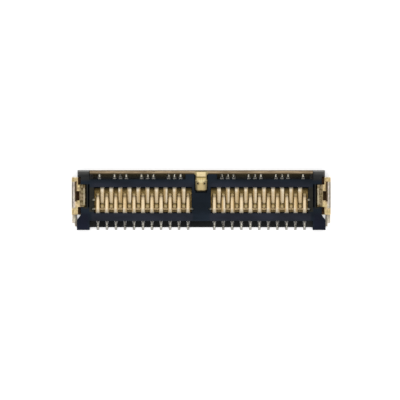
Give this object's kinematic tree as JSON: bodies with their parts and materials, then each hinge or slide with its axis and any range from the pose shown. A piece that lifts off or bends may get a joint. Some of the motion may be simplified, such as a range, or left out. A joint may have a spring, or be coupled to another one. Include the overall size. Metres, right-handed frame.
{
  "type": "display connector",
  "caption": "Two-row surface mounted board connector for a display cable, with two open cavities of staggered spring contacts, a rear shield strip and a hold-down bracket at each end.",
  "frame": {"origin": "on the board, under the middle of the part", "axes": "+X along the contact rows, +Y towards the rear shield strip, +Z away from the board, out of the open cavities"},
  "size_m": [0.023, 0.0052, 0.0015],
  "materials": {
    "housing_plastic": "fine moulded, blue-black",
    "shield_plating": "thin gold plating over nickel, dull olive",
    "bracket_gold": "gold plated, lightly rubbed",
    "ground_gold": "gold plated",
    "contact_gold": "pale gold plated, satin"
  },
  "bodies": {
    "root": {"housing": "housing_plastic", "rear_shield": "shield_plating", "end_bracket_left": "bracket_gold", "end_bracket_right": "bracket_gold", "ground_plate_left": "ground_gold", "ground_plate_right": "ground_gold", "front_contact_01": "contact_gold", "front_contact_02": "contact_gold", "front_contact_03": "contact_gold", "front_contact_04": "contact_gold", "front_contact_05": "contact_gold", "front_contact_06": "contact_gold", "front_contact_07": "contact_gold", "front_contact_08": "contact_gold", "front_contact_09": "contact_gold", "front_contact_10": "contact_gold", "front_contact_11": "contact_gold", "front_contact_12": "contact_gold", "front_contact_13": "contact_gold", "front_contact_14": "contact_gold", "front_contact_15": "contact_gold", "front_contact_16": "contact_gold", "front_contact_17": "contact_gold", "front_contact_18": "contact_gold", "front_contact_19": "contact_gold", "front_contact_20": "contact_gold", "front_contact_21": "contact_gold", "front_contact_22": "contact_gold", "rear_contact_01": "contact_gold", "rear_contact_02": "contact_gold", "rear_contact_03": "contact_gold", "rear_contact_04": "contact_gold", "rear_contact_05": "contact_gold", "rear_contact_06": "contact_gold", "rear_contact_07": "contact_gold", "rear_contact_08": "contact_gold", "rear_contact_09": "contact_gold", "rear_contact_10": "contact_gold", "rear_contact_11": "contact_gold", "rear_contact_12": "contact_gold", "rear_contact_13": "contact_gold", "rear_contact_14": "contact_gold", "rear_contact_15": "contact_gold", "rear_contact_16": "contact_gold", "rear_contact_17": "contact_gold", "rear_contact_18": "contact_gold", "rear_contact_19": "contact_gold", "rear_contact_20": "contact_gold"}
  },
  "joints": []
}
